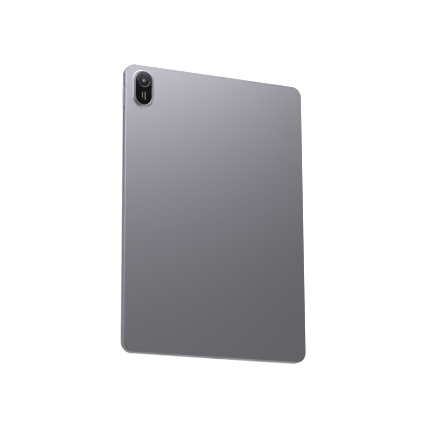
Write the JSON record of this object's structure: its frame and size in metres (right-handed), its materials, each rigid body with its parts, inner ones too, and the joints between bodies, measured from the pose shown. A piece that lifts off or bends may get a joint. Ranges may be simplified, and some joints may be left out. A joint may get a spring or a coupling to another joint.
{
  "type": "tablet computer",
  "caption": "Flat slab tablet computer lying on its screen: satin aluminium shell, raised oval camera island at one corner, tilting volume rocker, power key and port.",
  "frame": {"origin": "centre of the glass's front face, which the tablet lies on", "axes": "+X across the slab, away from the volume rocker's side; +Y along the slab, towards the short edge with the power key and the camera; +Z out of the back"},
  "size_m": [0.1778, 0.2615, 0.0092],
  "materials": {
    "housing_aluminium": "fine bead blast, satin anodised grey",
    "key_aluminium": "fine bead blast, satin anodised grey",
    "island_aluminium": "turned and polished edges, anodised grey",
    "trim_metal": "polished",
    "trim_plastic": "moulded, fine matt",
    "gasket_foam": "closed-cell foam",
    "cover_glass": "polished, chemically strengthened",
    "panel_glass": "dark polarised panel",
    "film": "diffusing film",
    "clear_acrylic": "clear moulded acrylic",
    "white_film": "white reflector film",
    "tray_steel": "thin pressed steel",
    "led_board": "white lamps with yellow phosphor",
    "flex": "amber polyimide",
    "circuit_board": "solder resist",
    "pouch_foil": "laminated pouch foil",
    "adhesive": "stretch-release adhesive",
    "chip_resin": "moulded resin",
    "can_steel": "tinned steel",
    "graphite": "pressed graphite film",
    "connector_plastic": "moulded",
    "port_steel": "drawn stainless steel",
    "port_plastic": "glass-filled moulding",
    "speaker_plastic": "moulded",
    "diaphragm": "formed film",
    "magnet": "nickel plated",
    "mesh": "woven polyester mesh",
    "window_glass": "black-backed polished glass",
    "camera_plastic": "black moulding",
    "lens_glass": "coated lens",
    "microphone_metal": "plated can",
    "plunger_plastic": "moulded",
    "screw_steel": "plated steel",
    "antenna_plastic": "moulded with plated tracks"
  },
  "bodies": {
    "housing": {"antennas": "antenna_plastic", "backlight_tray": "tray_steel", "battery_adhesive": "adhesive", "battery_cell_left": "pouch_foil", "battery_cell_right": "pouch_foil", "battery_protection_board": "circuit_board", "board_connectors": "connector_plastic", "camera_flex": "flex", "camera_housing": "camera_plastic", "camera_lens_ring": "trim_metal", "camera_ring": "island_aluminium", "camera_sensor_board": "circuit_board", "camera_window": "window_glass", "cover_glass": "cover_glass", "display_cable": "flex", "display_driver_board": "circuit_board", "display_flex": "flex", "display_gasket": "gasket_foam", "display_trim": "trim_plastic", "front_camera": "camera_plastic", "front_camera_lens": "lens_glass", "graphite_sheet": "graphite", "key_brackets": "can_steel", "key_flex": "flex", "key_switches": "connector_plastic", "lcd_cell": "panel_glass", "led_strip": "led_board", "light_guide": "clear_acrylic", "light_sensor": "chip_resin", "main_board": "circuit_board", "main_flex": "flex", "memory_chip": "chip_resin", "microphone": "microphone_metal", "microphone_boot": "gasket_foam", "optical_films": "film", "processor": "chip_resin", "rear_cover": "housing_aluminium", "reflector_sheet": "white_film", "screws": "screw_steel", "shield_cans": "can_steel", "speaker_box_bottom_left": "speaker_plastic", "speaker_box_bottom_right": "speaker_plastic", "speaker_box_top_left": "speaker_plastic", "speaker_box_top_right": "speaker_plastic", "speaker_magnets": "magnet", "speaker_meshes": "mesh", "usb_board": "circuit_board", "usb_bracket": "can_steel", "usb_shell": "port_steel", "usb_tongue": "port_plastic"},
    "volume_rocker": {"volume_rocker": "key_aluminium"},
    "volume_up_plunger": {"volume_up_plunger": "plunger_plastic"},
    "volume_down_plunger": {"volume_down_plunger": "plunger_plastic"},
    "power_button": {"power_button": "key_aluminium"},
    "camera_lens_barrel": {"camera_lens_barrel": "camera_plastic", "camera_lens": "lens_glass"},
    "speaker_diaphragm_top_left": {"speaker_diaphragm_top_left": "diaphragm"},
    "speaker_diaphragm_top_right": {"speaker_diaphragm_top_right": "diaphragm"},
    "speaker_diaphragm_bottom_left": {"speaker_diaphragm_bottom_left": "diaphragm"},
    "speaker_diaphragm_bottom_right": {"speaker_diaphragm_bottom_right": "diaphragm"}
  },
  "joints": [
    {"name": "volume_tilt", "type": "hinge", "parent": "housing", "child": "volume_rocker", "pos_m": [-0.08525, 0.1002, 0.0035], "axis": [0, 0, 1], "range_deg": [-1.6, 1.6], "stiffness_Nm_per_rad": 0.03},
    {"name": "volume_up_press", "type": "slide", "parent": "housing", "child": "volume_up_plunger", "axis": [1, 0, 0], "range_m": [-0.000205, 0.000205]},
    {"name": "volume_down_press", "type": "slide", "parent": "housing", "child": "volume_down_plunger", "axis": [1, 0, 0], "range_m": [-0.000205, 0.000205]},
    {"name": "power_press", "type": "slide", "parent": "housing", "child": "power_button", "axis": [0, -1, 0], "range_m": [0, 0.00025], "stiffness_N_per_m": 6000},
    {"name": "camera_focus", "type": "slide", "parent": "housing", "child": "camera_lens_barrel", "axis": [0, 0, 1], "range_m": [0, 0.00035], "stiffness_N_per_m": 300},
    {"name": "speaker_top_left_travel", "type": "slide", "parent": "housing", "child": "speaker_diaphragm_top_left", "axis": [0, 0, 1], "range_m": [-0.0003, 0.0003], "stiffness_N_per_m": 800},
    {"name": "speaker_top_right_travel", "type": "slide", "parent": "housing", "child": "speaker_diaphragm_top_right", "axis": [0, 0, 1], "range_m": [-0.0003, 0.0003], "stiffness_N_per_m": 800},
    {"name": "speaker_bottom_left_travel", "type": "slide", "parent": "housing", "child": "speaker_diaphragm_bottom_left", "axis": [0, 0, 1], "range_m": [-0.0003, 0.0003], "stiffness_N_per_m": 800},
    {"name": "speaker_bottom_right_travel", "type": "slide", "parent": "housing", "child": "speaker_diaphragm_bottom_right", "axis": [0, 0, 1], "range_m": [-0.0003, 0.0003], "stiffness_N_per_m": 800}
  ],
  "couplings": [
    {"joint": "volume_up_press", "follows": "volume_tilt", "m_per_rad": -0.00725},
    {"joint": "volume_down_press", "follows": "volume_tilt", "m_per_rad": 0.00725}
  ]
}
